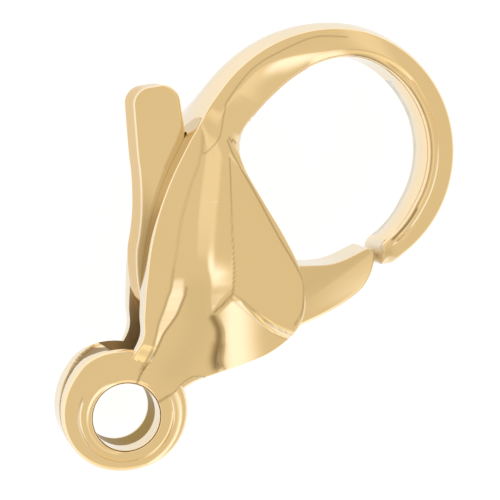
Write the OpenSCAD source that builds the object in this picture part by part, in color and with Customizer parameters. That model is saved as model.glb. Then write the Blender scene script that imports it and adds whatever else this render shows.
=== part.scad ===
/* [Overall] */
// Distance from the eye's centre to the hook's centre
body_reach = 9.5; // [9:0.1:11]
// Height of the hook's centre above the eye's centre line
hook_rise = 0.2; // [0:0.05:0.4]
// Thickness over the crest of both cheeks
crest_thick = 3.7; // [3.5:0.1:4.2]
// Thickness over the cheeks' edges along the slot
edge_thick = 3.2; // [3:0.1:3.4]

/* [Eye] */
// Diameter of the hole for a jump ring
eye_bore_d = 1.9; // [1.6:0.1:2]
// Outside diameter of the eye
eye_outer_d = 3.4; // [3.2:0.1:3.6]
// Thickness of the eye
eye_thick = 2.1; // [1.9:0.1:2.3]
// Width of the bevel at each mouth of the hole
eye_bevel = 0.14; // [0.08:0.02:0.16]
// Width of the groove that carries the slot on round the eye
groove_w = 0.26; // [0.2:0.02:0.4]
// Depth of that groove where it leaves the slot
groove_depth = 0.3; // [0.2:0.05:0.35]

/* [Hook] */
// Outside radius of the hook
hook_r = 3.75; // [3.6:0.05:4]
// Width of the hook's metal at its far side
hook_band = 0.92; // [0.8:0.02:1]
// Thickness of the hook at its tip
hook_thick = 2; // [1.8:0.1:2.2]
// Thickness of the hook where it leaves the cheeks
root_thick = 2.4; // [2.2:0.1:2.6]

/* [Slot and lever] */
// Width of the slot between the cheeks
slot_w = 1.6; // [1.5:0.05:1.7]
// Free space on each side of the lever in the slot
lever_clear = 0.05; // [0.04:0.01:0.08]
// Width of the thumb tab
tab_w = 1.32; // [1.2:0.02:1.4]
// Length of the thumb tab past the cheeks' shoulder
tab_len = 1.65; // [1.4:0.05:1.9]
// Gap between the gate's tip and the hook's tip
gate_gap = 0.1; // [0.08:0.02:0.16]
// Furthest that the lever turns, in degrees
open_angle = 22; // [16:1:22]

/* [Pivot and spring] */
// Diameter of the pivot pin
pin_d = 1; // [0.8:0.05:1.1]
// Free space round the pin in the lever's hole
pin_clear = 0.03; // [0.02:0.01:0.05]
// Depth of the pin's seat in each cheek
pin_seat = 0.45; // [0.3:0.05:0.5]
// Thickness of the spring's leaf
spring_t = 0.12; // [0.1:0.01:0.14]
// Width of the spring's leaf
spring_w = 1.1; // [0.9:0.05:1.2]

/* [Hidden] */
$fn = 64;
gold = [0.86, 0.74, 0.51];
steel = [0.75, 0.73, 0.68];

// Small distances used all over the part
margin = 0.6;          // how far a cut runs past the metal
stop_gap = 0.04;       // between the lever and the shoulder that stops it
swing_gap = 0.08;      // round the lever's hub inside the slot
seat_gap = 0.02;       // round and past the pin in its seats
leaf_gap = 0.04;       // between the spring and what it lies on
hub_wall = 0.36;       // round the pin in the lever
wall_bevel = 0.06;     // along the cheeks' and the hook's inner edge
bevel_depth = 0.2;     // of the bevel at each mouth of the eye's hole

// Half thicknesses and radii
crest_half = crest_thick / 2;
edge_half = edge_thick / 2;
eye_half = eye_thick / 2;
eye_r = eye_outer_d / 2;
bore_r = eye_bore_d / 2;
slot_half = slot_w / 2;
lever_t = slot_w - 2 * lever_clear;
floor_r = eye_r - 0.04;

// Places in plan
hook_c = [body_reach, hook_rise];
pivot = [0.421 * body_reach, -0.187 * hook_r];
hub_r = pin_d / 2 + hub_wall;
hub_leave = 240;
wall_from = 0.9 * floor_r * [cos(8), sin(8)];
shoulder = in_body([0.739, 0.953]);
tab_angle = 50;
tab_dir = [cos(tab_angle), sin(tab_angle)];
tab_side = [-sin(tab_angle), cos(tab_angle)];

// A place in the body from its shares of the reach and of the hook's radius
function in_body(s) = [s[0] * body_reach, s[1] * hook_r + hook_rise * s[0]];
function lerp(a, b, t) = a + (b - a) * t;
function clamp01(x) = max(0, min(1, x));
function ease(x) = let(c = clamp01(x)) c * c * (3 - 2 * c);
function on_hook(angle, r) = hook_c + r * [cos(angle), sin(angle)];
function arc(c, r, from, to, n) = [for (i = [0:n]) let(a = lerp(from, to, i / n)) c + r * [cos(a), sin(a)]];

// One span of a smooth curve through p1 and p2
function span(p0, p1, p2, p3, t) =
    0.5 * (2 * p1 + (p2 - p0) * t + (2 * p0 - 5 * p1 + 4 * p2 - p3) * t * t
        + (3 * p1 - p0 - 3 * p2 + p3) * t * t * t);
function smooth_through(p, n) = let(last = len(p) - 1) [
    for (i = [0:last - 1]) for (k = [0:n - 1])
        span(p[max(i - 1, 0)], p[i], p[i + 1], p[min(i + 2, last)], k / n),
    p[last]
];

// The body's cross sections, from the eye to the hook's root.
// Outer and inner side as shares of the reach and the hook's radius, then the heights of the outer edge,
// the crest and the inner edge as shares of the edge's and the crest's half thickness, the crest's place
// across the section and how round the section is. Last comes the inner wall, which leans inwards from
// its foot up to the inner edge: how far and from what height, as shares of the edge's half thickness.
BODY = [
    // outer side     inner side       heights             crest  round  lean   foot
    [0.084, 0.245, 0.084, -0.200,    0.40, 0.575, 0.40,    0.50,  0.0,  0.060,  0.16],
    [0.200, 0.296, 0.195, -0.282,    0.84, 0.700, 0.62,    0.42,  0.0,  0.140,  0.16],
    [0.258, 0.413, 0.263, -0.380,    0.94, 0.790, 0.72,    0.38,  0.0,  0.160,  0.16],
    [0.332, 0.556, 0.337, -0.497,    0.99, 0.890, 0.81,    0.36,  0.0,  0.180,  0.16],
    [0.416, 0.698, 0.421, -0.609,    1.00, 0.970, 0.88,    0.36,  0.0,  0.180,  0.20],
    [0.500, 0.808, 0.511, -0.635,    1.00, 1.000, 0.94,    0.31,  0.0,  0.140,  0.40],
    [0.574, 0.881, 0.595, -0.570,    1.00, 1.000, 1.00,    0.25,  0.0,  0.110,  0.60],
    [0.637, 0.929, 0.668, -0.369,    1.00, 0.998, 1.05,    0.22,  0.0,  0.112,  0.60],
    [0.689, 0.961, 0.711, -0.118,    0.98, 0.990, 1.06,    0.19,  0.0,  0.112,  0.60],
    [0.737, 0.990, 0.749,  0.187,    0.94, 0.965, 1.03,    0.19,  0.0,  0.125,  0.60],
    [0.779, 1.017, 0.781,  0.438,    0.87, 0.910, 0.96,    0.22,  0.1,  0.137,  0.60],
    [0.821, 1.042, 0.816,  0.610,    0.78, 0.825, 0.82,    0.30,  0.3,  0.100,  0.62],
    [0.874, 1.060, 0.874,  0.689,    0.68, 0.735, 0.60,    0.38,  0.7,  0.025,  0.62]
];
function body_row(s) = concat(in_body([s[0], s[1]]), in_body([s[2], s[3]]),
    [s[4] * edge_half, s[5] * crest_half, s[6] * edge_half, s[7], s[8], s[9] * edge_half, s[10] * edge_half]);

// The hook's cross sections, by the angle round its centre
root_angle = 100;
tip_angle = -102;
function hook_row(angle) =
    let(swell = max(0, (angle - 40) / 60),
        outer_r = hook_r * (1 + 0.08 * swell * swell),
        band = hook_band * (1 + 0.55 * ease((angle - 20) / 75)) * (1 - 0.12 * clamp01((-80 - angle) / 25)),
        half = lerp(hook_thick, root_thick, ease(angle / 100)) / 2,
        outer_edge = half * (0.62 + 0.18 * ease((angle - 30) / 70)),
        inner_edge = half * (0.45 + 0.2 * ease((angle - 60) / 40) + 0.35 * ease((-50 - angle) / 50)))
    concat(on_hook(angle, outer_r), on_hook(angle, outer_r - band),
        [outer_edge, half, inner_edge, 0.45, 1, 0.02, half]);

// The hook's tip, whose end is bevelled on the side that the gate meets: the outer and inner side's angle
// and share of the hook's radius, then the heights as shares of the hook's half thickness.
TIP = [
    [-107.0, 0.995, -110.5, 0.790,    0.62, 0.99, 0.82],
    [-110.8, 0.988, -114.0, 0.850,    0.62, 0.95, 0.82],
    [-113.8, 0.965, -115.8, 0.905,    0.62, 0.88, 0.80]
];
function tip_row(s) = let(half = hook_thick / 2)
    concat(on_hook(s[0], s[1] * hook_r), on_hook(s[2], s[3] * hook_r),
        [s[4] * half, s[5] * half, s[6] * half, 0.45, 0.8, 0.02, half]);

hook_steps = 34;
body_spans = 3;
ROWS = let(body = [for (s = BODY) body_row(s)],
    hook = [for (i = [0:hook_steps]) hook_row(lerp(root_angle, tip_angle, i / hook_steps))],
    tip = [for (s = TIP) tip_row(s)])
    concat(smooth_through(concat(body, [hook[0]]), body_spans), [for (i = [1:hook_steps]) hook[i]], tip);

// The bulge of each cheek over the pivot, and its height above the section
bulge_c = [0.405 * body_reach, -0.25 * hook_r];
bulge_r = 0.3 * hook_r;
bulge_h = 0.2;
function bulge(p) = bulge_h * exp(-pow(norm(p - bulge_c) / bulge_r, 2));

// The upper half of one cross section, from the outer side over the crest to the inner side
outer_points = 4;
inner_points = 5;
function upper(row) =
    let(o = [row[0], row[1]], i = [row[2], row[3]], width = norm(i - o),
        crest = row[7], soft = row[8], inset = 1 - row[9] / width,
        wall_top = min(row[6] - wall_bevel, row[10]))
    concat(
        [for (k = [0:outer_points]) let(a = k / outer_points)
            [crest * lerp(a, 1 - cos(90 * a), soft),
             row[4] + (row[5] - row[4]) * lerp(1 - pow(1 - a, 1.6), sin(90 * a), soft)]],
        [for (k = [1:inner_points]) let(a = 1 - k / inner_points)
            [inset - (inset - crest) * lerp(a, 1 - cos(90 * a), soft),
             row[6] + (row[5] - row[6]) * lerp(1 - pow(1 - a, 1.8), sin(90 * a), soft)]],
        [[1, wall_top]]);
function section(row) =
    let(o = [row[0], row[1]], i = [row[2], row[3]],
        top = [for (s = upper(row)) let(p = lerp(o, i, s[0])) [p[0], p[1], s[1] + bulge(p)]],
        last = len(top) - 1)
    concat(top, [for (k = [last:-1:0]) [top[k][0], top[k][1], -top[k][2]]]);

// Cheeks and hook in one skin, swept through the cross sections
module cheeks_and_hook() {
    loop = 2 * (outer_points + inner_points + 2);
    rows = len(ROWS);
    polyhedron(
        points = [for (row = ROWS) each section(row)],
        faces = concat(
            [[for (j = [0:loop - 1]) j]],
            [for (i = [0:rows - 2]) for (j = [0:loop - 1])
                let(a = i * loop + j, b = i * loop + (j + 1) % loop)
                each [[a, b + loop, b], [a, a + loop, b + loop]]],
            [[for (j = [loop - 1:-1:0]) (rows - 1) * loop + j]]));
}

// The eye's ring, turned about its hole: shares of the way from hole to rim, and of half the thickness
RING = [[0.45, 1], [0.68, 0.93], [0.86, 0.76], [0.97, 0.52], [1, 0.29]];
module eye_ring() {
    face = concat(
        [[bore_r, eye_half - bevel_depth], [bore_r + eye_bevel, 0.97 * eye_half]],
        [for (s = RING) [lerp(bore_r, eye_r, s[0]), s[1] * eye_half]]);
    rotate_extrude()
        polygon(concat(face, [for (k = [len(face) - 1:-1:0]) [face[k][0], -face[k][1]]]));
}

// What the hole and its bevelled mouths take away
module eye_hole() {
    cylinder(r = bore_r, h = 2 * crest_half, center = true);
    for (side = [0, 1]) mirror([0, 0, side])
        translate([0, 0, eye_half - bevel_depth])
            cylinder(r1 = bore_r, r2 = bore_r + 2.2 * eye_bevel, h = 2 * bevel_depth);
}

// The groove round the eye, deepest at the slot and running out on the far side
module eye_groove() {
    far = eye_r + margin;
    linear_extrude(groove_w, center = true)
        difference() {
            polygon([[0, 0], far * [1.3, 0.2], far * [0, 1.6], far * [-1.6, 0], far * [-0.9, -1.3]]);
            translate(groove_depth / 2 * [cos(230), sin(230)]) circle(eye_r - groove_depth / 2 + 0.01);
        }
}

// The slot in plan: open along the thumb side and where the gate comes out, with a web between them
module slot_plan() {
    gate_out = in_body(GATE_LOW[0]);
    mouth = in_body([0.78, 0.03]);
    web_low = in_body([0.574, 0.165]);
    web_up = shoulder - (stop_length + 3 * swing_gap) * tab_dir;
    out_up = shoulder + margin * tab_dir;
    difference() {
        polygon(concat(
            [wall_from],
            arc(pivot, hub_r + swing_gap, 207, hub_leave, 4),
            [gate_out - [0, swing_gap], gate_out + [0.1 * body_reach, -margin], mouth - [0, 0.8 * hook_r],
             mouth, web_low, web_up, out_up, out_up + margin * tab_side,
             in_body([0.36, 1.05]), in_body([0.1, 0.62]), 0.9 * floor_r * [cos(38), sin(38)]]));
        circle(floor_r);
    }
}

// The gate's lower edge, from where it leaves the cheeks to its tip
GATE_LOW = [[0.561, -0.636], [0.630, -0.710], [0.700, -0.775], [0.779, -0.828]];

// Blind seats for the pivot pin in both cheeks
module pin_seats() {
    translate([pivot[0], pivot[1], 0])
        cylinder(d = pin_d + 2 * seat_gap, h = slot_w + 2 * pin_seat, center = true);
}

module frame() {
    color(gold)
        difference() {
            union() {
                cheeks_and_hook();
                eye_ring();
            }
            eye_hole();
            eye_groove();
            linear_extrude(slot_w, center = true) slot_plan();
            pin_seats();
        }
}

// The lever's outline. The thumb tab runs along the shoulder's line, the heel lies over the spring, the hub
// goes round the pin and the gate arm ends at the bevel of the hook's tip.
THUMB_EDGE = [[0.474, 0.868], [0.389, 0.705], [0.326, 0.569], [0.290, 0.455]];
GATE_TOP = [
    [0.776, -0.575], [0.731, -0.487], [0.676, -0.327], [0.592, -0.090], [0.532, 0.100], [0.523, 0.265]
];
curve_steps = 3;
tab_corner_r = 0.5;
tab_waist = 0.85;      // from the shoulder back to the tab's waist
stop_length = 0.27 * body_reach;
heel_r = 0.35;
heel_c = in_body([0.302, 0.278]);
tip_low_r = 0.15;      // corners of the gate's tip, and where they lie along the bevel
tip_high_r = 0.2;
tip_low_at = -0.1;
tip_high_at = 0.15;
bevel_end = on_hook(TIP[2][2], TIP[2][3] * hook_r);
bevel_start = on_hook(TIP[0][2], TIP[0][3] * hook_r);
bevel_dir = (bevel_start - bevel_end) / norm(bevel_start - bevel_end);
bevel_out = [-bevel_dir[1], bevel_dir[0]];
bevel_angle = atan2(bevel_dir[1], bevel_dir[0]);
tip_low = bevel_end + tip_low_at * bevel_dir + (tip_low_r + gate_gap) * bevel_out;
tip_high = bevel_end + tip_high_at * bevel_dir + (tip_high_r + gate_gap) * bevel_out;
stop_from = shoulder + stop_gap * tab_side;
function along_tab(length, side) = stop_from + length * tab_dir + side * tab_side;
module lever_plan() {
    tab_end = tab_len - tab_corner_r;
    thumb = smooth_through(concat([along_tab(tab_end, tab_w), along_tab(-tab_waist, tab_w)],
        [for (s = THUMB_EDGE) in_body(s)]), curve_steps);
    low = concat([for (s = GATE_LOW) in_body(s)], [tip_low + tip_low_r * [cos(255), sin(255)]]);
    top = concat([tip_high + tip_high_r * [cos(75), sin(75)]], [for (s = GATE_TOP) in_body(s)]);
    polygon(concat(
        arc(along_tab(tab_end, tab_corner_r), tab_corner_r, tab_angle - 90, tab_angle, 6),
        arc(along_tab(tab_end, tab_w - tab_corner_r), tab_corner_r, tab_angle, tab_angle + 90, 6),
        [for (k = [1:len(thumb) - 1]) thumb[k]],
        arc(heel_c, heel_r, 175, 250, 5),
        arc(pivot, hub_r, 165, hub_leave, 7),
        smooth_through(low, curve_steps),
        arc(tip_low, tip_low_r, 270, bevel_angle + 270, 3),
        arc(tip_high, tip_high_r, bevel_angle - 90, 60, 6),
        smooth_through(top, curve_steps),
        [along_tab(-stop_length, 0)]));
}
module lever() {
    color(gold)
        difference() {
            linear_extrude(lever_t, center = true) lever_plan();
            translate([pivot[0], pivot[1], 0])
                cylinder(d = pin_d + 2 * pin_clear, h = lever_t + margin, center = true);
        }
}

module pivot_pin() {
    color(steel)
        translate([pivot[0], pivot[1], 0])
            cylinder(d = pin_d, h = slot_w + 2 * pin_seat - 2 * seat_gap, center = true);
}

// The spring lies along the slot's inner wall and springs back under the heel. Its line is worked out in
// lengths along that wall and away from it.
wall_to = pivot + (hub_r + swing_gap) * [cos(207), sin(207)];
wall_dir = (wall_to - wall_from) / norm(wall_to - wall_from);
wall_out = [-wall_dir[1], wall_dir[0]];
function from_wall(s) = wall_from + s[0] * wall_dir + s[1] * wall_out;
function stroke(path, width) = let(last = len(path) - 1,
    ways = [for (i = [0:last]) let(d = path[min(i + 1, last)] - path[max(i - 1, 0)]) [-d[1], d[0]] / norm(d)])
    concat([for (i = [0:last]) path[i] - width / 2 * ways[i]],
        [for (i = [last:-1:0]) path[i] + width / 2 * ways[i]]);
module spring() {
    bend_r = 0.14;
    leg_from = 0.42;
    bend_at = 0.68 * norm(wall_to - wall_from);
    lie = leaf_gap + spring_t / 2;
    heel_place = heel_c - wall_from;
    heel_low = heel_place * wall_out - heel_r - leaf_gap - spring_t / 2;
    line = concat([[leg_from, lie]], arc([bend_at, lie + bend_r], bend_r, -90, 70, 6),
        [[heel_place * wall_dir, heel_low]]);
    color(steel)
        linear_extrude(spring_w, center = true)
            polygon(stroke([for (s = line) from_wall(s)], spring_t));
}

frame();
lever();
pivot_pin();
spring();
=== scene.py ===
"""Looks of a polished lobster clasp: a cast body with eye and hook, a flat lever, its pin and its spring."""

import bmesh
import bpy
import numpy as np
from mathutils import Matrix, Vector


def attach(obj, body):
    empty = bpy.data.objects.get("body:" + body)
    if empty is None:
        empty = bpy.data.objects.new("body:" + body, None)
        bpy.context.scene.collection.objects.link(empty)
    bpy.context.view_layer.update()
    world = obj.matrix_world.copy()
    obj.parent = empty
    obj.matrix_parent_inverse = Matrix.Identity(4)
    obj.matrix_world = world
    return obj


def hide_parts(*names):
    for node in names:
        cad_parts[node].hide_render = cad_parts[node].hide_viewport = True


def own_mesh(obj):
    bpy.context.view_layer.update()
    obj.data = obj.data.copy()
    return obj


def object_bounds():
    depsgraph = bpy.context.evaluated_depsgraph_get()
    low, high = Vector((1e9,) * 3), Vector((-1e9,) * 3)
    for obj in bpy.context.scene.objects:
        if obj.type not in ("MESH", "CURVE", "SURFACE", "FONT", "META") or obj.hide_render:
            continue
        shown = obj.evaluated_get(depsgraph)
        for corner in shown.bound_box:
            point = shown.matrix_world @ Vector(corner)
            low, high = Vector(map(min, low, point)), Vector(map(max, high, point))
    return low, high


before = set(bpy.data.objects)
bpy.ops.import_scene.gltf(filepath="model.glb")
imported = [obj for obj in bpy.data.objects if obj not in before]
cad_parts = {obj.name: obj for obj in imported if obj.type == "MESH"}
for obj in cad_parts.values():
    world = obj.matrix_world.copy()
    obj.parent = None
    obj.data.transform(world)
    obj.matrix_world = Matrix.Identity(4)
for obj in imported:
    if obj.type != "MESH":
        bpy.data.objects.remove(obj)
cad_low, cad_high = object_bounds()
MM = 0.001

# Sizes of the clasp in millimetres, as in the part's own source. A half is half a thickness.
REACH = 9.5  # from the eye's hole to the hook's centre
RISE = 0.2  # how far the hook's centre lies towards the thumb's side
CREST_HALF = 1.85
EDGE_HALF = 1.6
EYE_R = 1.7
EYE_HALF = 1.05
BORE_R = 0.95
EYE_BEVEL = 0.14
HOOK_R = 3.75
HOOK_BAND = 0.92
HOOK_THICK = 2.0
ROOT_THICK = 2.4
SLOT_HALF = 0.8
TAB_W = 1.32
TAB_CORNER = 0.5
TIP_R = 0.2
TIP_PLACE = 0.15  # along the flat on the hook's tip
PIN_R = 0.5
PIN_SEAT = 0.45
SEAT_PLAY = 0.02
HOLE_PLAY = 0.03
SPRING_T = 0.12
SPRING_HALF = 0.55
LEAF_GAP = 0.04
BEND_R = 0.14
HUB_R = PIN_R + 0.36
HOOK_C = np.array([REACH, RISE])
PIVOT = np.array([0.421 * REACH, -0.187 * HOOK_R])
FLOOR_R = EYE_R - 0.04

# Sizes that are the dressed clasp's own
LEVER_HALF = 0.785
LEVER_ROUND = 0.09
TAB_LEN = 1.645
GATE_GAP = 0.14
OUTER_ROUND = (0.07, 0.08)  # on the cheeks and on the hook
INNER_ROUND = 0.05
BARREL = 0.17  # how far the hook's outer wall draws in from its middle to its top
BORE_SHADE_TOP = 0.22
BORE_SHADE_FOOT = -0.85
SHARP_ANGLE = 34


def in_body(shares):
    """Places in plan from shares of the reach and of the hook's radius, raised a little towards the hook."""
    s = np.asarray(shares, float)
    return np.stack([s[..., 0] * REACH, s[..., 1] * HOOK_R + RISE * s[..., 0]], -1)


def lerp(a, b, t):
    return a + (b - a) * t


def ease(x):
    """Smooth step from 0 to 1: 3 x squared less 2 x cubed, held outside."""
    c = np.clip(x, 0, 1)
    return c * c * (3 - 2 * c)


def way(degrees):
    """Unit direction at an angle in plan."""
    a = np.radians(degrees)
    return np.stack([np.cos(a), np.sin(a)], -1)


def arc(centre, r, start, end, n):
    """Points on a circle from one angle to another, in even steps."""
    return np.asarray(centre) + r * way(np.linspace(start, end, n + 1))


def smooth_through(rows, steps):
    """Catmull-Rom curve through the rows, in even steps of t: half of 2 p1 + (p2 - p0) t
    + (2 p0 - 5 p1 + 4 p2 - p3) t^2 + (3 p1 - p0 - 3 p2 + p3) t^3."""
    rows = np.asarray(rows, float)
    padded = np.vstack([rows[:1], rows, rows[-1:]])
    p0, p1, p2, p3 = (padded[k:len(rows) - 1 + k, None, :] for k in range(4))
    t = (np.arange(steps) / steps)[None, :, None]
    spans = 0.5 * (2 * p1 + (p2 - p0) * t + (2 * p0 - 5 * p1 + 4 * p2 - p3) * t * t
                   + (3 * p1 - p0 - 3 * p2 + p3) * t * t * t)
    return np.vstack([spans.reshape(-1, rows.shape[1]), rows[-1:]])


def look_up(table, where, column=1):
    """A column of a table at places between its rows, which the first column gives."""
    return np.interp(where, table[:, 0], table[:, column])


def from_line(points, line):
    """Distance from an open line in plan, positive on its left: nearest foot on each straight stretch."""
    a, b = line[:-1], line[1:]
    d = b - a
    rel = points[..., None, :] - a
    t = np.clip((rel * d).sum(-1) / (d * d).sum(-1), 0, 1)
    gap = rel - t[..., None] * d
    dist = np.sqrt((gap * gap).sum(-1))
    near = dist.argmin(-1)[..., None]
    cross = d[:, 0] * rel[..., 1] - d[:, 1] * rel[..., 0]
    side = np.where(np.take_along_axis(cross, near, -1)[..., 0] >= 0, 1.0, -1.0)
    return side * np.take_along_axis(dist, near, -1)[..., 0]


def new_piece(name, corners, faces, sharp_angle=32):
    """A smooth mesh object at the origin, from corners in millimetres, creased where it turns sharply."""
    mesh = bpy.data.meshes.new(name)
    mesh.from_pydata((np.asarray(corners) * MM).tolist(), [], faces)
    mesh.validate()
    mesh.polygons.foreach_set("use_smooth", np.ones(len(mesh.polygons), bool))
    mesh.set_sharp_from_angle(angle=np.radians(sharp_angle))
    piece = bpy.data.objects.new(name, mesh)
    bpy.context.scene.collection.objects.link(piece)
    return piece


def skin(loops, closed=False):
    """Corners and faces of a skin over loops: quads between neighbours, and flat ends if it isn't closed."""
    rows, n = loops.shape[:2]
    spans = rows if closed else rows - 1
    i = np.arange(spans)[:, None] * n
    up = (np.arange(spans)[:, None] + 1) % rows * n
    j = np.arange(n)[None, :]
    k = (j + 1) % n
    quads = np.stack([i + j, i + k, up + k, up + j], -1).reshape(-1, 4)
    faces = quads.tolist()
    if not closed:
        faces += [list(range(n - 1, -1, -1)), list(range((rows - 1) * n, rows * n))]
    return loops.reshape(-1, 3), faces


def upright(plan, heights):
    """The same outline in plan at each of the heights, or one outline for each of them."""
    plan = np.broadcast_to(plan, (len(heights),) + plan.shape[-2:])
    return np.concatenate([plan, np.broadcast_to(heights[:, None, None], plan.shape[:2] + (1,))], -1)


def outwards(piece):
    """Turns all faces outwards."""
    shell = bmesh.new()
    shell.from_mesh(piece.data)
    bmesh.ops.recalc_face_normals(shell, faces=shell.faces)
    shell.to_mesh(piece.data)
    shell.free()
    return piece


def combine(piece, tool, operation):
    """Joins a tool to a piece or cuts it away, and puts the result in the piece's mesh."""
    step = piece.modifiers.new("cut", "BOOLEAN")
    step.operation = operation
    step.solver = "MANIFOLD"
    step.material_mode = "TRANSFER"
    step.object = tool
    bpy.context.view_layer.update()
    evaluated = piece.evaluated_get(bpy.context.evaluated_depsgraph_get())
    result = bpy.data.meshes.new_from_object(evaluated)
    piece.modifiers.clear()
    old = piece.data
    piece.data = result
    result.name = old.name
    bpy.data.objects.remove(tool)


def finish_shading(piece):
    """Smooth faces with creases where two meet at more than SHARP_ANGLE."""
    mesh = piece.data
    mesh.polygons.foreach_set("use_smooth", np.ones(len(mesh.polygons), bool))
    mesh.set_sharp_from_angle(angle=np.radians(SHARP_ANGLE))


def face_places(piece):
    """Centres of the piece's faces, in millimetres."""
    faces = piece.data.polygons
    place = np.empty(len(faces) * 3)
    faces.foreach_get("center", place)
    return place.reshape(-1, 3) / MM


def coat(piece, first, second=None, chosen=None):
    """Gives the piece its material, and a second one to the chosen faces."""
    piece.data.materials.append(first)
    if second is not None:
        piece.data.materials.append(second)
        piece.data.polygons.foreach_set("material_index", chosen.astype(int))


# The body's cross sections: shares of the reach and the hook's radius for both sides, then heights as
# shares, the crest's place, how round the section is, and how far and from where the inner wall leans
BODY = [
    # outer side     inner side       heights             crest  round  lean   foot
    [0.084, 0.245, 0.084, -0.200,    0.40, 0.575, 0.40,    0.50,  0.0,  0.060,  0.16],
    [0.200, 0.296, 0.195, -0.282,    0.84, 0.700, 0.62,    0.42,  0.0,  0.140,  0.16],
    [0.258, 0.413, 0.263, -0.380,    0.94, 0.790, 0.72,    0.38,  0.0,  0.160,  0.16],
    [0.332, 0.556, 0.337, -0.497,    0.99, 0.890, 0.81,    0.36,  0.0,  0.180,  0.16],
    [0.416, 0.698, 0.421, -0.609,    1.00, 0.970, 0.88,    0.36,  0.0,  0.180,  0.20],
    [0.500, 0.808, 0.511, -0.635,    1.00, 1.000, 0.94,    0.31,  0.0,  0.140,  0.40],
    [0.574, 0.881, 0.589, -0.553,    1.00, 1.000, 1.00,    0.25,  0.0,  0.110,  0.60],
    [0.637, 0.929, 0.659, -0.345,    1.00, 0.998, 1.05,    0.22,  0.0,  0.112,  0.60],
    [0.689, 0.961, 0.702, -0.094,    0.98, 0.990, 1.06,    0.19,  0.0,  0.112,  0.60],
    [0.737, 0.990, 0.741,  0.205,    0.94, 0.965, 1.03,    0.25,  0.05,  0.125,  0.60],
    [0.779, 1.017, 0.775,  0.450,    0.93, 0.895, 0.98,    0.36,  0.3,  0.137,  0.60],
    [0.821, 1.042, 0.816,  0.610,    0.86, 0.800, 0.86,    0.36,  0.6,  0.100,  0.62],
    [0.874, 1.060, 0.874,  0.689,    0.78, 0.710, 0.72,    0.32,  0.85,  0.025,  0.62],
]
TIP = [
    # outer angle, share, inner angle, share, heights
    [-107.0, 0.995, -110.5, 0.790,    0.78, 0.99, 0.76],
    [-110.8, 0.988, -114.0, 0.850,    0.74, 0.95, 0.77],
    [-113.8, 0.965, -115.8, 0.905,    0.68, 0.88, 0.76],
]
ROOT_ANGLE = 100
TIP_ANGLE = -102
HOOK_LEAN = 0.02
TIP_CREST = 0.60
TIP_SOFT = 0.8


def body_rows():
    """The table in millimetres: outer x y, inner x y, three heights, crest, round, lean, foot, valley."""
    t = np.array(BODY)
    heights = t[:, 4:7] * [EDGE_HALF, CREST_HALF, EDGE_HALF]
    return np.column_stack([in_body(t[:, 0:2]), in_body(t[:, 2:4]), heights, t[:, 7:9],
                            t[:, 9:11] * EDGE_HALF, np.zeros(len(t))])


def hook_rows(angles):
    """The same columns round the hook, whose band widens and swells towards its root."""
    swell = np.maximum(0, (angles - 40) / 60)
    outer_r = HOOK_R * (1 + 0.08 * swell ** 2)
    widen = 1 + 0.55 * ease((angles - 20) / 75) + 0.04 * ease((20 - angles) / 40)
    narrow = 1 - 0.12 * np.clip((-80 - angles) / 25, 0, 1)
    band = HOOK_BAND * widen * narrow
    half = lerp(HOOK_THICK, ROOT_THICK, np.clip(angles / 100, 0, 1) ** 2) / 2
    half = half * (1 - 0.07 * ease((20 - angles) / 60))
    outer = half * (0.84 + 0.08 * ease((angles + 10) / 50) + 0.03 * ease((angles - 40) / 50))
    inner = half * (0.73 + 0.14 * ease((angles + 20) / 60) - 0.05 * ease((angles - 40) / 20)
                    + 0.07 * ease((angles - 75) / 25))
    crest = 0.60 + 0.12 * ease(angles / 40) - 0.42 * ease((angles - 42) / 45)
    valley = ease((25 - angles) / 40)
    same = np.ones_like(angles)
    outer_side = HOOK_C + outer_r[:, None] * way(angles)
    inner_side = HOOK_C + (outer_r - band)[:, None] * way(angles)
    return np.column_stack([outer_side, inner_side, outer, half, inner, crest, same, HOOK_LEAN * same,
                            half, valley])


def tip_rows():
    """The same columns for the bevelled tip."""
    t = np.array(TIP)
    half = HOOK_THICK / 2
    same = np.ones(len(t))
    outer_side = HOOK_C + HOOK_R * t[:, 1:2] * way(t[:, 0])
    inner_side = HOOK_C + HOOK_R * t[:, 3:4] * way(t[:, 2])
    return np.column_stack([outer_side, inner_side, t[:, 4:7] * half, TIP_CREST * same, TIP_SOFT * same,
                            HOOK_LEAN * same, half * same, 0 * same])


BODY_STEPS = 16
HOOK_STEPS = 84
TIP_STEPS = 4
hook_angles = np.linspace(ROOT_ANGLE, TIP_ANGLE, HOOK_STEPS + 1)
hook = hook_rows(hook_angles)
rows = np.vstack([smooth_through(np.vstack([body_rows(), hook[:1]]), BODY_STEPS)[:-1], hook[:-1],
                  smooth_through(np.vstack([hook[-1:], tip_rows()]), TIP_STEPS)])

# Directions in plan: across the cheek, and down it towards the eye
CROSS = np.array([0.6816, -0.7317])
DOWN = np.array([-0.7317, -0.6816])

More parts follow.
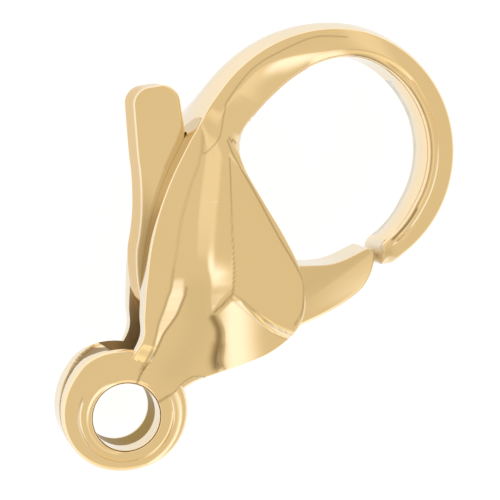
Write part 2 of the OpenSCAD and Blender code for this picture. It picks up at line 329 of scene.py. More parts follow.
# Relief of the cheek in millimetres: at places down it, where four bands end across it, the height at the
# last end, the fold, and how steeply each band falls across the cheek
RELIEF = [
    # down   panel  bank   band   fold   height  falls: panel  bank  band   flank
    [-8.30,  2.31,  2.42,  2.89,  3.01,  1.620,        -0.20, -0.12,  0.10,  0.22],
    [-7.20,  2.17,  2.24,  2.81,  3.03,  1.645,        -0.20, -0.12,  0.10,  0.28],
    [-6.50,  1.89,  2.10,  2.74,  3.04,  1.645,        -0.20, -0.12,  0.10,  0.30],
    [-5.50,  1.57,  1.95,  2.60,  3.04,  1.645,        -0.20, -0.12,  0.10,  0.30],
    [-4.70,  1.42,  1.87,  2.46,  3.05,  1.645,        -0.20, -0.08,  0.075, 0.25],
    [-4.20,  1.32,  1.79,  2.36,  3.06,  1.645,        -0.18,  0.00,  0.03,  0.18],
    [-3.90,  1.27,  1.73,  2.32,  3.05,  1.645,        -0.16,  0.09, -0.03,  0.12],
    [-3.60,  1.22,  1.68,  2.30,  3.03,  1.645,        -0.16,  0.11, -0.09,  0.08],
    [-3.40,  1.14,  1.64,  2.29,  2.98,  1.645,        -0.16,  0.11, -0.12,  0.075],
    [-3.14,  1.06,  1.53,  2.31,  2.73,  1.640,        -0.16,  0.11, -0.12,  0.075],
    [-2.90,  0.97,  1.43,  2.36,  2.47,  1.625,        -0.16,  0.11, -0.12,  0.10],
    [-2.62,  0.88,  1.24,  2.42,  2.44,  1.600,        -0.16,  0.11, -0.12,  0.05],
    [-2.37,  0.84,  1.06,  2.42,  2.43,  1.560,        -0.16,  0.12, -0.12,  0.00],
    [-2.12,  0.78,  0.95,  2.40,  2.41,  1.510,        -0.16,  0.12, -0.12,  0.00],
    [-1.87,  0.72,  0.84,  2.35,  2.36,  1.455,        -0.16,  0.12, -0.12,  0.00],
    [-1.59,  0.60,  0.70,  2.28,  2.29,  1.395,        -0.16,  0.12, -0.12,  0.00],
    [-1.34,  0.44,  0.52,  2.22,  2.23,  1.340,        -0.14,  0.12, -0.12,  0.00],
    [-1.08,  0.29,  0.36,  2.19,  2.20,  1.285,        -0.12,  0.12, -0.12,  0.00],
    [-0.61,  0.15,  0.21,  2.14,  2.15,  1.190,        -0.10,  0.10, -0.12,  0.00],
    [0.00,   0.00,  0.06,  2.05,  2.06,  1.060,        -0.10,  0.10, -0.10,  0.00],
]
relief_table = smooth_through(RELIEF, 8)
MAP_DOWN = np.arange(-9.5, 0.6, 0.03)
MAP_ACROSS = np.arange(-2.0, 7.0, 0.02)
BANK_TOP = 0.10


def height_map():
    """Heights over the cheek: along each line across it the falls are summed back from the fold's height.
    Each fall passes into the next over a short width, which is crisp near the eye and soft near the hook."""
    panel, bank, band, fold, height, fall_panel, fall_bank, fall_band, fall_flank = (
        look_up(relief_table, MAP_DOWN, k)[:, None] for k in range(1, 10))
    across = MAP_ACROSS[None, :]
    crisp = lerp(0.34, 0.04, ease((MAP_DOWN + 4.0) / 0.8))[:, None]
    soft = lerp(0.36, 0.12, ease((MAP_DOWN + 4.0) / 0.8))[:, None]
    fall = fall_panel + (fall_bank - fall_panel) * ease((across - panel) / BANK_TOP + 0.5)
    fall = fall + (fall_band - fall_bank) * ease((across - bank) / crisp + 0.5)
    fall = fall + (fall_flank - fall_band) * ease((across - band) / soft + 0.5)
    fall = fall * (across < fold)
    total = np.cumsum(fall, axis=1) * (MAP_ACROSS[1] - MAP_ACROSS[0])
    return height + total[:, -1:] - total


def from_map(heights, p):
    """Heights at places in plan, by the shares of the four nearest places of the map."""
    down = (p @ DOWN - MAP_DOWN[0]) / (MAP_DOWN[1] - MAP_DOWN[0])
    across = (p @ CROSS - MAP_ACROSS[0]) / (MAP_ACROSS[1] - MAP_ACROSS[0])
    down = np.clip(down, 0, len(MAP_DOWN) - 1.001)
    across = np.clip(across, 0, len(MAP_ACROSS) - 1.001)
    i, j = down.astype(int), across.astype(int)
    u, v = down - i, across - j
    left = heights[i, j] * (1 - u) + heights[i + 1, j] * u
    right = heights[i, j + 1] * (1 - u) + heights[i + 1, j + 1] * u
    return left * (1 - v) + right * v


cheek_map = height_map()


def across_line(column, low, high):
    """One of the relief's ends as a line in plan, between two places down the cheek."""
    part = relief_table[(relief_table[:, 0] >= low) & (relief_table[:, 0] <= high)]
    return part[:, :1] * DOWN + part[:, column:column + 1] * CROSS


# Lines in plan on the cheeks: the facet's foot and rim, the dome's edge and wall, the tongue over the ring
FACET_FOOT = smooth_through([[4.56, 0.15], [4.58, -0.46], [4.57, -1.03], [4.60, -1.50], [4.72, -1.95],
                             [4.95, -2.60]], 6)
FACET_RIM = smooth_through([[7.67, 3.04], [7.45, 2.62], [7.19, 1.86], [6.95, 1.17], [6.59, 0.19],
                            [6.18, -1.04], [5.85, -1.46], [5.41, -1.78], [5.02, -1.88]], 6)
DOME_EDGE = np.vstack([
    smooth_through([[2.55, -1.90], [2.66, -1.30], [2.76, -0.92], [3.15, -0.60],
                    [3.51, -0.28], [3.68, 0.10]], 6),
    smooth_through([[3.72, 0.17], [4.14, 0.17], [4.56, 0.15]], 4), FACET_FOOT[1:]])
DOME_WALL = smooth_through([[3.67, 0.11], [3.51, -0.25], [3.18, -0.55], [2.86, -0.76], [2.72, -0.95]], 6)
DOME_WALL_LOW = DOME_WALL[12:]
TONGUE_END = smooth_through([[2.50, -1.50], [2.32, -1.05], [2.12, -0.72], [1.93, -0.60], [1.66, -0.56],
                             [1.40, -0.57], [1.11, -0.47], [0.7, -0.35]], 6)
TONGUE_MID = np.array([[3.9, 0.9], [3.3, 0.3], [2.6, 0.0], [1.9, -0.1]])

# Lines in plan on the hook and the gate
HOOK_CREASE = smooth_through([[6.92, 3.36], [7.07, 3.29], [7.61, 3.28], [8.26, 3.58], [8.56, 3.69],
                              [9.66, 3.71], [10.57, 3.41], [11.55, 2.90], [12.17, 2.19]], 6)
HOOK_TICK = np.array([[12.17, 2.20], [12.07, 2.05]])
ROOT_LINE = np.array([[7.32, 3.66], [6.91, 3.37]])
NOTCH = np.array([[7.76, 3.02], [7.71, 2.90], [7.79, 2.91], [7.78, 2.78]])
TIP_FACET = np.array([[8.38, -2.85], [8.32, -3.05]])
GATE_MID = np.array([[5.5, -1.3], [8.0, -2.4]])

# The valley inside the hook's crest: shares of the way to the inner edge, and of the fall
VALLEY = np.array([[0, 0], [0.12, 0.12], [0.25, 0.32], [0.37, 0.40], [0.50, 0.37], [0.62, 0.36],
                   [0.75, 0.48], [1, 1]])
DOME_TOP = 1.72
DOME_CREST = 2.42  # where the dome starts to fall across the cheek
NECK_HEIGHT = 0.95
TONGUE_HEIGHT = 0.8
TONGUE_REACH = 2.4


def relief(p, row, s):
    """Height of the upper face at places in plan: the cheek's map with the dome over the pivot laid into it
    and its end cut down over the ring. Towards the hook it passes into a band that falls from its crest to
    both sides by powers of the share of the way, and where valley is 1 by the valley's table inside."""
    z_out, crest_h, z_in, crest, soft, valley = (row[:, k:k + 1] for k in (4, 5, 6, 7, 8, 11))
    x = p[..., 0]
    z = from_map(cheek_map, p)
    across, down = p @ CROSS, p @ DOWN
    t = np.maximum(across - DOME_CREST, 0)
    dome = DOME_TOP - 0.05 * t - 0.055 * t * t
    dome = dome - 0.085 * np.maximum(down + 3.2, 0) - 0.10 * np.maximum(down + 2.0, 0) ** 2
    within_dome = -from_line(p, DOME_EDGE)
    wall_w = lerp(0.14, 0.24, ease((x - 3.9) / 0.5))
    z = lerp(z, dome, ease(within_dome / wall_w + 0.4))
    to_bank = look_up(relief_table, down, 2) - across
    near_ring = 1 - ease((np.linalg.norm(p, axis=-1) - 1.3) / 0.9)
    z = lerp(z, NECK_HEIGHT, near_ring * ease(to_bank / BANK_TOP + 0.5))
    past_end = from_line(p, TONGUE_END)
    z = lerp(z, np.minimum(z, TONGUE_HEIGHT), ease(past_end / 0.08) * (x < TONGUE_REACH))

    past_crest = np.clip((s - crest) / (1 - crest), 0, 1)
    fall_in = lerp(past_crest ** 1.4, look_up(VALLEY, past_crest), valley)
    fall_out = np.clip(1 - s / crest, 0, 1) ** 1.15
    band = crest_h - (crest_h - z_out) * fall_out - (crest_h - z_in) * fall_in
    return lerp(z, band, ease((soft - 0.05) / 0.75))


CORNER_STEPS = 6
ACROSS = 96
MOST_LEAN = 0.35
WALL_SHARES = np.array([[0.2, 0.45, 0.65, 0.85]])
BARREL_POWER = 1.3


def body_skin():
    """Loops of the body: outer wall, rounded corner, relief across the top, rounded corner, leaning inner
    wall down to the middle, and the same mirrored below. The hook's outer wall is a barrel: it draws in by
    BARREL times the share of its height to BARREL_POWER."""
    o, i = rows[:, 0:2], rows[:, 2:4]
    width = np.linalg.norm(i - o, axis=1)[:, None]
    lean, foot, soft = rows[:, 9:10], rows[:, 10:11], rows[:, 8:9]
    r_out = lerp(*OUTER_ROUND, soft)
    r_in = np.full_like(soft, INNER_ROUND)
    turn = np.radians(np.linspace(0, 90, CORNER_STEPS + 1))[None, :]

    edge_place = (o + (i - o) * (1 - lean / width))[:, None, :]
    edge_h = relief(edge_place, rows, 1 - lean / width)
    foot = np.minimum(foot, rows[:, 6:7] - r_in)
    full_lean = lean * (edge_h - foot) / np.maximum(rows[:, 6:7] - foot, 0.05)
    full_lean = np.minimum(full_lean, MOST_LEAN)
    inset = BARREL * soft
    first = inset + r_out * (1 - np.cos(turn))
    last = width - full_lean - r_in + r_in * np.sin(turn)
    mid = lerp(inset + r_out, width - full_lean - r_in, np.linspace(0, 1, ACROSS + 1)[None, 1:-1])
    d = np.concatenate([first, mid, last], 1)
    drop = np.concatenate([r_out * (1 - np.sin(turn)), np.zeros_like(mid), r_in * (1 - np.cos(turn))], 1)
    s = d / width
    p = o[:, None, :] + (i - o)[:, None, :] * s[..., None]
    z = relief(p, rows, (d - inset) / (width - inset)) - drop
    top = np.concatenate([p, z[..., None]], -1)

    down = np.array([0.5, 1.0])
    foot_z = np.minimum(foot, z[:, -1:] - 0.02)
    wall_s = 1 - full_lean / width * (1 - down[None, :])
    wall_z = z[:, -1:] + (foot_z - z[:, -1:]) * down[None, :]
    wall_p = o[:, None, :] + (i - o)[:, None, :] * wall_s[..., None]
    wall = np.concatenate([wall_p, wall_z[..., None]], -1)
    low_p = o[:, None, :] + (i - o)[:, None, :] * (inset / width * WALL_SHARES ** BARREL_POWER)[..., None]
    outer_low = np.concatenate([low_p, (z[:, :1] * WALL_SHARES)[..., None]], -1)
    upper = np.concatenate([outer_low, top, wall], 1)
    return np.concatenate([upper, upper[:, ::-1] * [1, 1, -1]], 1)


# The eye's ring by turn round the hole: its radius, the groove in its rim, and how far its collar rises
RING = [
    # turn  radius  groove: height, half width, depth  collar
    [-120,  1.58,   0.50,  0.06,  0.00,               1.0],
    [-90,   1.68,   0.30,  0.30,  0.00,               1.0],
    [-47,   1.79,   0.00,  0.60,  0.00,               0.7],
    [0,     1.86,   0.00,  0.60,  0.25,               0.2],
    [45,    1.92,  -0.05,  0.75,  0.30,               0.2],
    [62,    1.95,  -0.03,  0.62,  0.30,               0.2],
    [78,    1.95,   0.00,  0.34,  0.30,               0.3],
    [95,    1.88,   0.14,  0.18,  0.27,               0.5],
    [133,   1.79,   0.42,  0.09,  0.18,               1.0],
    [178,   1.68,   0.55,  0.07,  0.12,               1.0],
    [215,   1.58,   0.55,  0.06,  0.07,               1.0],
    [240,   1.58,   0.50,  0.06,  0.00,               1.0],
]
ring_table = smooth_through(RING, 8)
COLLAR_END = 0.46
COLLAR_STEP = 0.11
RING_CORE = 0.6
RIM_STEPS = 30


def ring_skin():
    """The eye's ring with its core: a collar round the hole, a face that falls gently and rounds over to
    the rim, and in the rim a groove, depth times the root of 1 less the share of its half width."""
    turns = np.linspace(-120, 240, 181)[:-1]
    radius, centre, half_width, depth, collar = (look_up(ring_table, turns, k)[:, None] for k in range(1, 6))
    # Shares of the way from the hole's wall to the rim, and the fall there as a share of the half height
    face = np.vstack([[[0.30, 0], [0.38, 0], [0.42, 0], [0.45, 0.001], [0.48, 0.002]],
                      smooth_through([[0.52, 0.004], [0.60, 0.007], [0.75, 0.02], [0.88, 0.05], [0.95, 0.10],
                                      [0.99, 0.17], [1.0, 0.25]], 4)])
    upper = 1 - face[:, 1] - collar * COLLAR_STEP * ease((face[:, 0] - COLLAR_END) / 0.12 + 0.5)
    wall = upper[:, -1:] * np.linspace(1, 0, RIM_STEPS)[None, 1:]
    upper = np.concatenate([upper, wall], 1) * EYE_HALF
    height = np.concatenate([upper, -upper[:, -2::-1]], 1)
    share = np.concatenate([face[:, 0], np.ones(RIM_STEPS - 1)])
    share = np.concatenate([share, share[-2::-1]])[None, :]
    within = np.clip(1 - np.abs(height - centre) / half_width, 0, 1) ** 0.5
    reach = lerp(BORE_R, radius, share) - depth * within * (share == 1)
    core = np.full((len(turns), 1), RING_CORE)
    reach = np.concatenate([core, reach, core], 1)
    height = np.concatenate([height[:, :1], height, height[:, -1:]], 1)
    plan = way(turns)[:, None, :] * reach[..., None]
    return np.concatenate([plan, height[..., None]], -1)


def round_bar(name, profile, centre, n):
    """A solid turned about an upright axis: circles of the profile's radii at its heights."""
    profile = np.asarray(profile, float)
    circle = way(np.linspace(0, 360, n + 1)[:-1])
    plan = np.asarray(centre) + circle[None] * profile[:, :1, None]
    return outwards(new_piece(name, *skin(upright(plan, profile[:, 1]))))


def prism(name, outline, half):
    """An outline stood up through the middle plane, half its height on each side."""
    return outwards(new_piece(name, *skin(upright(np.asarray(outline, float), np.array([-half, half])))))


# The lever's edges in shares of the reach and the hook's radius: the gate arm's underside and top, and the
# thumb's side from the tab to the heel
GATE_LOW = [[0.563, -0.662], [0.606, -0.718], [0.648, -0.765], [0.693, -0.806],
            [0.735, -0.832], [0.768, -0.836], [0.807, -0.814], [0.832, -0.785]]
GATE_TOP = [[0.776, -0.575], [0.731, -0.487], [0.676, -0.327], [0.592, -0.090],
            [0.532, 0.100], [0.523, 0.265]]
THUMB_EDGE = [[0.613, 1.185], [0.573, 1.076], [0.530, 0.972], [0.484, 0.874],
              [0.436, 0.790], [0.384, 0.708], [0.326, 0.569], [0.290, 0.455]]

# The slot and the places in it that the lever and the spring share
SHOULDER = in_body([0.739, 0.953])
TAB_ANGLE = 50
TAB_DIR = way(TAB_ANGLE)
TAB_SIDE = way(TAB_ANGLE + 90)
SWING_GAP = 0.08
STOP_GAP = 0.04
STOP_LENGTH = 0.27 * REACH
HUB_MEET = 207  # angle at which the slot's inner wall meets the room round the hub
HUB_LEAVE = 240
MARGIN = 0.6
WALL_FROM = 0.9 * FLOOR_R * way(8)
HEEL_C = in_body([0.302, 0.278])
HEEL_R = 0.35


def slot_outline():
    """The slot in plan: open along the thumb's side and at the gate, round the eye's ring at its foot."""
    gate_out = in_body(GATE_LOW[0])
    mouth = in_body([0.78, 0.03])
    web_low = in_body([0.574, 0.165])
    web_up = SHOULDER - (STOP_LENGTH + 3 * SWING_GAP) * TAB_DIR
    out_up = SHOULDER + MARGIN * TAB_DIR
    start = np.degrees(np.arctan2(WALL_FROM[1], WALL_FROM[0]))
    return np.vstack([
        arc(PIVOT, HUB_R + SWING_GAP, HUB_MEET, HUB_LEAVE, 8),
        [gate_out - [0, SWING_GAP], gate_out + [0.1 * REACH, -MARGIN], mouth - [0, 0.8 * HOOK_R],
         mouth, web_low, web_up, out_up, out_up + MARGIN * TAB_SIDE],
        in_body([[0.36, 1.05], [0.1, 0.62]]),
        arc([0, 0], FLOOR_R, 46, start, 24)])


# The flat on the hook's tip that faces the gate: its two ends, its direction and the side the gate is on
bevel_from, bevel_to = [HOOK_C + HOOK_R * t[3] * way(t[2]) for t in (TIP[2], TIP[0])]
bevel_dir = (bevel_to - bevel_from) / np.linalg.norm(bevel_to - bevel_from)
bevel_out = np.array([-bevel_dir[1], bevel_dir[0]])


def lever_outline():
    """The lever in plan: rounded thumb tab, heel over the spring, hub round the pin, gate arm and tip."""
    stop_from = SHOULDER + STOP_GAP * TAB_SIDE

    def along_tab(length, side):
        return stop_from + length * TAB_DIR + side * TAB_SIDE

    tip = bevel_from + TIP_PLACE * bevel_dir + (TIP_R + GATE_GAP) * bevel_out
    tab_end = TAB_LEN - TAB_CORNER
    thumb = smooth_through(np.vstack([[along_tab(tab_end, TAB_W)], in_body(THUMB_EDGE)]), 12)
    low = smooth_through(in_body(GATE_LOW), 12)
    top = smooth_through(np.vstack([[tip + TIP_R * way(75)], in_body(GATE_TOP)]), 12)
    return np.vstack([
        arc(along_tab(tab_end, TAB_CORNER), TAB_CORNER, TAB_ANGLE - 90, TAB_ANGLE, 16),
        arc(along_tab(tab_end, TAB_W - TAB_CORNER), TAB_CORNER, TAB_ANGLE, TAB_ANGLE + 90, 16),
        thumb[1:], arc(HEEL_C, HEEL_R, 175, 250, 12), arc(PIVOT, HUB_R, 165, HUB_LEAVE, 20),
        low, arc(tip, TIP_R, -50, 60, 20),
        top, [along_tab(-STOP_LENGTH, 0)]])


def rounded_plate(name, outline, half, r):
    """A flat plate with rounded edges. At height r (1 - cos a) above its lower face the outline is drawn in
    by r (1 - sin a), square to each corner's mean direction, and the same below its upper face."""
    outline = np.asarray(outline, float)
    step = np.roll(outline, -1, 0) - outline
    outline = outline[np.linalg.norm(step, axis=1) > 1e-4]
    ahead = np.roll(outline, -1, 0) - outline
    ahead = ahead / np.linalg.norm(ahead, axis=1)[:, None]
    mean = ahead + np.roll(ahead, 1, 0)
    mean = mean / np.linalg.norm(mean, axis=1)[:, None]
    inward = np.stack([-mean[:, 1], mean[:, 0]], -1)
    turn = np.radians(np.linspace(0, 90, CORNER_STEPS + 1))
    wall = (half - r) * np.array([-0.9, 0, 0.9])
    draw = np.concatenate([r * (1 - np.sin(turn)), 0 * wall, r * (1 - np.cos(turn))])
    height = np.concatenate([-half + r * (1 - np.cos(turn)), wall, half - r * (1 - np.sin(turn))])
    plan = outline[None] + inward[None] * draw[:, None, None]
    return outwards(new_piece(name, *skin(upright(plan, height))))


class Value:
    """A number socket in a shader, with the arithmetic that the materials use."""

    def __init__(self, shader, socket):
        self.shader, self.socket = shader, socket

    def _math(self, operation, first, second):
        node = self.shader.node("ShaderNodeMath", {"operation": operation}, {0: first, 1: second})
        return Value(self.shader, node.outputs[0])

    def __add__(self, other):
        return self._math("ADD", self, other)

    def __sub__(self, other):
        return self._math("SUBTRACT", self, other)

    def __rsub__(self, other):
        return self._math("SUBTRACT", other, self)

    def __mul__(self, other):
        return self._math("MULTIPLY", self, other)

    __radd__ = __add__
    __rmul__ = __mul__


class Shader:
    """A node tree and one method that makes any node from its type, settings and inputs."""

    def __init__(self, tree):
        self.tree = tree
        tree.nodes.clear()

    def node(self, kind, settings=None, inputs=None):
        made = self.tree.nodes.new(kind)
        for key, value in (settings or {}).items():
            setattr(made, key, value)
        for key, value in (inputs or {}).items():
            socket = made.inputs[key]
            if isinstance(value, Value):
                self.tree.links.new(value.socket, socket)
            elif isinstance(value, bpy.types.NodeSocket):
                self.tree.links.new(value, socket)
            else:
                socket.default_value = value
        return made

    def noise(self, where, scale, detail=2.0):
        made = self.node("ShaderNodeTexNoise", None, {"Vector": where, "Scale": scale, "Detail": detail})
        return Value(self, made.outputs["Fac"])

    def ramp(self, value, low, high):
        made = self.node("ShaderNodeMapRange", {"interpolation_type": "SMOOTHSTEP"},
                         {"Value": value, "From Min": low, "From Max": high})
        return Value(self, made.outputs["Result"])

    def blend(self, share, first, second):
        made = self.node("ShaderNodeMix", {"data_type": "RGBA"},
                         {"Factor": share, 6: (*first, 1) if isinstance(first, tuple) else first,
                          7: (*second, 1) if isinstance(second, tuple) else second})
        return made.outputs[2]


# The colour of painted shade, laid into creases and hollows through the stored shade attribute
SHADE = (0.30, 0.20, 0.085)


def polished_metal(name, colour, warm, roughness, waviness, edge=(1, 1, 1)):
    """A polished coat: slow changes of tint, faint haze in patches, the soft waviness of a casting, and
    painted shade in the creases where the piece stores it: its colour drawn towards SHADE and less metallic."""
    material = bpy.data.materials.new(name)
    material.use_nodes = True
    s = Shader(material.node_tree)
    place = s.node("ShaderNodeTexCoord").outputs["Object"]
    slow = s.ramp(s.noise(place, scale=260, detail=1.0), low=0.35, high=0.65)
    haze = s.ramp(s.noise(place, scale=900, detail=3.0), low=0.5, high=0.8)
    wave = s.noise(place, scale=420, detail=1.0)
    bump = s.node("ShaderNodeBump", None, {"Strength": 1.0, "Distance": waviness * MM, "Height": wave})
    painted_shade = Value(s, s.node("ShaderNodeAttribute", {"attribute_name": "painted_shade"}).outputs["Fac"])
    metal = s.node("ShaderNodeBsdfPrincipled", None, {
        "Base Color": s.blend(painted_shade, s.blend(slow, colour, warm), SHADE), "Metallic": 1.0 - painted_shade * 0.8,
        "Roughness": haze * 0.05 + roughness, "Normal": bump.outputs["Normal"],
        "Specular Tint": (*edge, 1)})
    s.node("ShaderNodeOutputMaterial", None, {"Surface": metal.outputs["BSDF"]})
    return material


gold = polished_metal("gold_polish", (0.93, 0.765, 0.52), (0.92, 0.75, 0.50),
                      roughness=0.07, waviness=0.004, edge=(0.86, 0.90, 0.95))
# A rougher coat for the faces cut inside the slot, the seats and the pin's hole; its darker tint is painted
# shade of these recesses
inside = polished_metal("gold_inside_painted_shade", (0.66, 0.53, 0.36), (0.60, 0.48, 0.32),
                        roughness=0.4, waviness=0.004)
# Painted shade for the bore's inner band: a darker tint and a dimmer edge reflection
bore_shade = polished_metal("gold_bore_painted_shade", (0.42, 0.30, 0.08), (0.40, 0.28, 0.08),
                            roughness=0.3, waviness=0.004, edge=(0.6, 0.55, 0.5))
satin = polished_metal("gold_satin", (0.93, 0.86, 0.74), (0.91, 0.84, 0.72),
                       roughness=0.55, waviness=0.002)
# Painted shade for the tab's side walls: a darker tint and a warmer edge reflection
tab_wall = polished_metal("gold_tab_wall_painted_shade", (0.86, 0.70, 0.46), (0.84, 0.68, 0.44),
                          roughness=0.12, waviness=0.004, edge=(0.80, 0.68, 0.50))
steel = polished_metal("steel_bright", (0.62, 0.59, 0.54), (0.55, 0.52, 0.48),
                       roughness=0.22, waviness=0.002)

# The cast body: cheeks and hook in one skin, the eye's ring, then the hole, the slot and the pin's seats.
# The flat on the hook's tip is satin, and the bore's inner band has painted shade: a darker coat with a
# dimmer edge reflection.
BEVEL_NEAR = 0.05
BEVEL_MIDDLE = 0.2
BEVEL_HALF = 0.45
frame_body = outwards(new_piece("frame_body", *skin(body_skin())))
from_bevel = face_places(frame_body)[:, :2] - bevel_from
along_bevel = np.abs(from_bevel @ bevel_dir - BEVEL_MIDDLE) < BEVEL_HALF
on_bevel = (np.abs(from_bevel @ bevel_out) < BEVEL_NEAR) & along_bevel
coat(frame_body, gold, satin, on_bevel)
ring = outwards(new_piece("ring", *skin(ring_skin(), closed=True)))
coat(ring, gold)
combine(frame_body, ring, "UNION")

bevel_turn = np.radians(np.linspace(0, 80, 9))
mouth_r = BORE_R + EYE_BEVEL * (1 - np.cos(bevel_turn))
mouth_z = EYE_HALF - 0.005 - EYE_BEVEL * (1 - np.sin(bevel_turn))
half_bore = np.vstack([
    [[BORE_R + 5 * EYE_BEVEL, CREST_HALF + MARGIN], [BORE_R + 1.6 * EYE_BEVEL, EYE_HALF + 0.06]],
    np.stack([mouth_r, mouth_z], -1)[::-1],
    [[BORE_R, 0.80], [BORE_R, 0.42], [BORE_R, BORE_SHADE_TOP]]])
bore = round_bar("bore", np.vstack([half_bore, (half_bore * [1, -1])[::-1]]), (0, 0), 160)
bore_height = face_places(bore)[:, 2]
coat(bore, gold, bore_shade, (bore_height < BORE_SHADE_TOP) & (bore_height > BORE_SHADE_FOOT))
combine(frame_body, bore, "DIFFERENCE")

slot = prism("slot", slot_outline(), SLOT_HALF)
coat(slot, inside)
combine(frame_body, slot, "DIFFERENCE")

seat_r, seat_half = PIN_R + SEAT_PLAY, SLOT_HALF + PIN_SEAT
seats = round_bar("seats", [[seat_r, -seat_half], [seat_r, seat_half]], PIVOT, 64)
coat(seats, inside)
combine(frame_body, seats, "DIFFERENCE")
finish_shading(frame_body)

# The lever: one flat plate with rounded edges and a hole for the pin. The tab's side walls have painted
# shade: a darker, warmer coat.
WALL_SIDE = 0.5
WALL_END = 1.1
WALL_HALF = 0.5
lever = rounded_plate("lever_plate", lever_outline(), LEVER_HALF, LEVER_ROUND)
lever_places = face_places(lever)
from_tab = lever_places[:, :2] - SHOULDER
round_tab = (from_tab @ TAB_SIDE > WALL_SIDE) | (from_tab @ TAB_DIR > WALL_END)
coat(lever, gold, tab_wall, (np.abs(lever_places[:, 2]) < WALL_HALF) & round_tab)
hole_r = PIN_R + HOLE_PLAY
pin_hole = round_bar("pin_hole", [[hole_r, -1], [hole_r, 1]], PIVOT, 64)
coat(pin_hole, inside)
combine(lever, pin_hole, "DIFFERENCE")
finish_shading(lever)

# Painted shade: the height from which lines are shaded, and the shade's depth, first turn and height of the
# rim's groove
SHADE_FROM = 0.6
GROOVE_SHADE = 0.85
GROOVE_TURN = 46
GROOVE_HEIGHT = 0.60


def paint_shade_lines(piece, lines):
    """Paints shade along the lines: stores at each corner that faces up or down how near it lies to any of
    the lines, the largest of their bells, depth times exp of minus the square of distance over width. The
    rim's groove has one depth of painted shade."""
    mesh = piece.data
    place = np.empty(len(mesh.vertices) * 3)
    mesh.vertices.foreach_get("co", place)
    place = place.reshape(-1, 3) / MM
    shade_amount = np.zeros(len(place))
    for line, width, depth in lines:
        bell = np.exp(-(from_line(place[:, :2], line) / width) ** 2)
        shade_amount = np.maximum(shade_amount, depth * bell)
    facing = np.empty(len(mesh.vertices) * 3)
    mesh.vertex_normals.foreach_get("vector", facing)
    height = np.abs(place[:, 2])
    up_or_down = ease((np.abs(facing[2::3]) - 0.4) / 0.2)
    shade_amount = shade_amount * (height > SHADE_FROM) * up_or_down
    radius = np.linalg.norm(place[:, :2], axis=1)
    turn = (np.degrees(np.arctan2(place[:, 1], place[:, 0])) + 120) % 360 - 120
    in_rim = (radius < look_up(ring_table, turn) - 0.02) & (radius > BORE_R + 0.2)
    in_groove = in_rim & (height < GROOVE_HEIGHT * EYE_HALF) & (turn > GROOVE_TURN)
    shade_amount = np.where(in_groove, GROOVE_SHADE, shade_amount)
    layer = mesh.attributes.new("painted_shade", "FLOAT", "POINT")
    layer.data.foreach_set("value", shade_amount)


def round_hook(share, start, end):
    """A line round the hook at one share of the way across its band."""
    angles = np.linspace(start, end, 40)
    row = hook_rows(angles)
    return row[:, 0:2] + (row[:, 2:4] - row[:, 0:2]) * share


collar_turns = np.linspace(105, 235, 50)
collar_line = way(collar_turns) * lerp(BORE_R, look_up(ring_table, collar_turns), 0.49)[:, None]
slot_edge = smooth_through(body_rows()[2:13, 0:2], 6)

# Lines of painted shade: where each runs, its width and its depth
paint_shade_lines(frame_body, [
    (across_line(1, -8.0, -4.2), 0.035, 0.22),
    (across_line(1, -4.2, -1.3), 0.035, 0.40),
    (across_line(2, -3.7, -0.9), 0.03, 0.70),
    (across_line(4, -7.2, -3.4), 0.022, 0.55),
    (across_line(4, -3.5, -2.9), 0.03, 0.7),
    (DOME_WALL, 0.11, 0.95),
    (DOME_WALL_LOW, 0.16, 0.95),
    (FACET_FOOT, 0.025, 0.50),
    (FACET_FOOT + [-0.16, 0], 0.025, 0.30),
    (FACET_RIM, 0.025, 0.60),
    (TONGUE_END, 0.03, 0.7),
    (TONGUE_MID, 0.5, 0.12),
    (collar_line, 0.022, 0.45),
    (HOOK_CREASE, 0.022, 0.45),
    (HOOK_TICK, 0.02, 0.5),
    (ROOT_LINE, 0.025, 0.35),
    (NOTCH, 0.022, 0.7),
    (TIP_FACET, 0.15, 0.25),
    (round_hook(0.88, -82, -104), 0.035, 0.9),
    (round_hook(0.88, 60, 5), 0.10, 0.22),
    (round_hook(0.95, 32, -98), 0.045, 0.9),
])
# Painted shade on the lever: darker beside the cheek's edge and across the gate arm's middle
paint_shade_lines(lever, [
    (slot_edge, 0.32, 0.55),
    (GATE_MID, 0.6, 0.18),
])

# The spring: a leaf that lies on the slot's wall and bends back under the heel
LEAF_FROM = 0.42  # where the leaf starts along the wall
BEND_SHARE = 0.68  # where it bends back, as a share of the wall's length
wall_to = PIVOT + (HUB_R + SWING_GAP) * way(HUB_MEET)
wall_length = np.linalg.norm(wall_to - WALL_FROM)
wall_dir = (wall_to - WALL_FROM) / wall_length
wall_out = np.array([-wall_dir[1], wall_dir[0]])
heel_place = HEEL_C - WALL_FROM
lie = LEAF_GAP + SPRING_T / 2
bend_at = BEND_SHARE * wall_length
leaf_line = np.vstack([[LEAF_FROM, lie], arc([bend_at, lie + BEND_R], BEND_R, -90, 70, 20),
                       [heel_place @ wall_dir, heel_place @ wall_out - HEEL_R - lie]])
leaf_way = np.gradient(leaf_line, axis=0)
leaf_side = np.stack([-leaf_way[:, 1], leaf_way[:, 0]], -1) / np.linalg.norm(leaf_way, axis=1)[:, None]
half_leaf = SPRING_T / 2 * leaf_side
leaf_edge = np.vstack([leaf_line - half_leaf, (leaf_line + half_leaf)[::-1]])
leaf_outline = WALL_FROM + leaf_edge[:, :1] * wall_dir + leaf_edge[:, 1:] * wall_out
leaf = prism("spring_leaf", leaf_outline, SPRING_HALF)
coat(leaf, steel)
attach(leaf, "frame")
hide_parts("spring")
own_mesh(leaf)

for piece, body in ((frame_body, "frame"), (lever, "lever")):
    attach(piece, body)
    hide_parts(body)
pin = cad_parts["pivot_pin"]
pin.data.materials.clear()
coat(pin, steel)

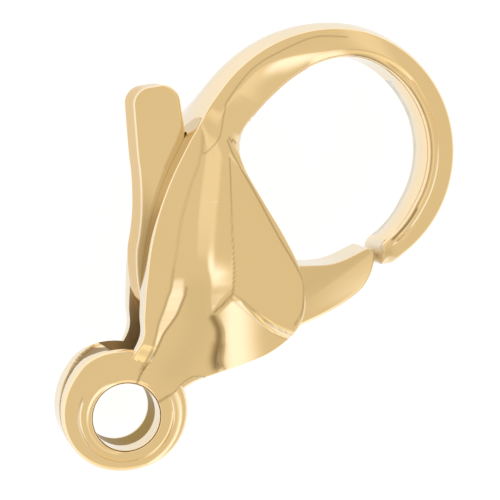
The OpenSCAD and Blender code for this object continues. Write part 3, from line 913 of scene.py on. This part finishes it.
# The floor: a sheet of pale paper just under the clasp
FLOOR_HALF = 900
FLOOR_DROP = 0.005
floor_corners = FLOOR_HALF * np.array([[-1, -1, 0], [1, -1, 0], [1, 1, 0], [-1, 1, 0]])
floor = new_piece("floor", floor_corners + [0, 0, cad_low[2] / MM - FLOOR_DROP], [[0, 1, 2, 3]])
paper = bpy.data.materials.new("paper_white")
paper.use_nodes = True
sheet = Shader(paper.node_tree)
grain = sheet.noise(sheet.node("ShaderNodeTexCoord").outputs["Object"], scale=60)
matt = sheet.node("ShaderNodeBsdfPrincipled", None, {
    "Base Color": sheet.blend(grain, (0.32, 0.32, 0.32), (0.35, 0.35, 0.35)), "Roughness": 0.9,
    "Emission Color": (0.97, 0.98, 1.0, 1), "Emission Strength": 0.86})
sheet.node("ShaderNodeOutputMaterial", None, {"Surface": matt.outputs["BSDF"]})
coat(floor, paper)

# The light tent
world = bpy.data.worlds.new("studio")
bpy.context.scene.world = world
world.use_nodes = True
tent = Shader(world.node_tree)
view = tent.node("ShaderNodeTexCoord").outputs["Generated"]


def towards(direction):
    """Cosine of the angle between a light direction and one place in the tent."""
    made = tent.node("ShaderNodeVectorMath", {"operation": "DOT_PRODUCT"},
                     {0: view, 1: tuple(Vector(direction).normalized())})
    return Value(tent, made.outputs["Value"])


def stripe(direction, low, high):
    """A soft step from dark to light across the tent, between two cosines."""
    return tent.ramp(towards(direction), low, high)


WHITE = (1.0, 1.0, 1.0)
TAN = (1.0, 0.87, 0.60)
across_cheek, down_cheek = (*CROSS, 0), (*DOWN, 0)

# A dimmer tan roof above bright walls. In it lie a strip that is whiter and brighter towards the eye, and a
# low band on the eye's side.
WALL_LIGHT = 1.10
ROOF_LOSS = 0.31
STRIP_LEAST = 0.16
STRIP_RISE = 0.34
LOW_RISE = 0.35
over = stripe((0, 0, 1), 0.12, 0.32)
strip_light = stripe(across_cheek, 0.31, 0.42) - stripe(across_cheek, 0.46, 0.62)
down_light = stripe(down_cheek, 0.13, 0.30)
low_light = stripe(down_cheek, 0.70, 0.78) - stripe(down_cheek, 0.88, 0.95)
glow = over * strip_light
strip = glow * (down_light * STRIP_RISE + STRIP_LEAST)
strength = WALL_LIGHT - over * ROOF_LOSS + strip + over * low_light * LOW_RISE
roof = tent.blend(over, WHITE, TAN)
tone = tent.blend(glow * (down_light * 0.80 + 0.10), roof, WHITE)
sky = tent.node("ShaderNodeBackground", None, {"Color": tone, "Strength": strength.socket})
tent.node("ShaderNodeOutputWorld", None, {"Surface": sky.outputs["Background"]})

# The camera: its place in millimetres, and the directions of the picture's right, foot and depth
CAMERA_PLACE = (1.6355, 14.6042, 55.3911)
CAMERA_RIGHT = (0.6395, -0.7303, 0.2402)
CAMERA_FOOT = (-0.7652, -0.6348, 0.1071)
CAMERA_DEPTH = (0.0743, -0.2523, -0.9648)
CAMERA_LENS = 144
camera_data = bpy.data.cameras.new("camera")
camera = bpy.data.objects.new("camera", camera_data)
bpy.context.scene.collection.objects.link(camera)
camera_data.sensor_width = 36
camera_data.lens = CAMERA_LENS
camera_data.clip_start = 0.001
axes = Matrix([CAMERA_RIGHT, [-v for v in CAMERA_FOOT], [-v for v in CAMERA_DEPTH]]).transposed()
camera.matrix_world = Matrix.Translation(Vector(CAMERA_PLACE) * MM) @ axes.to_4x4()
bpy.context.scene.camera = camera
bpy.context.scene.view_settings.view_transform = "Standard"
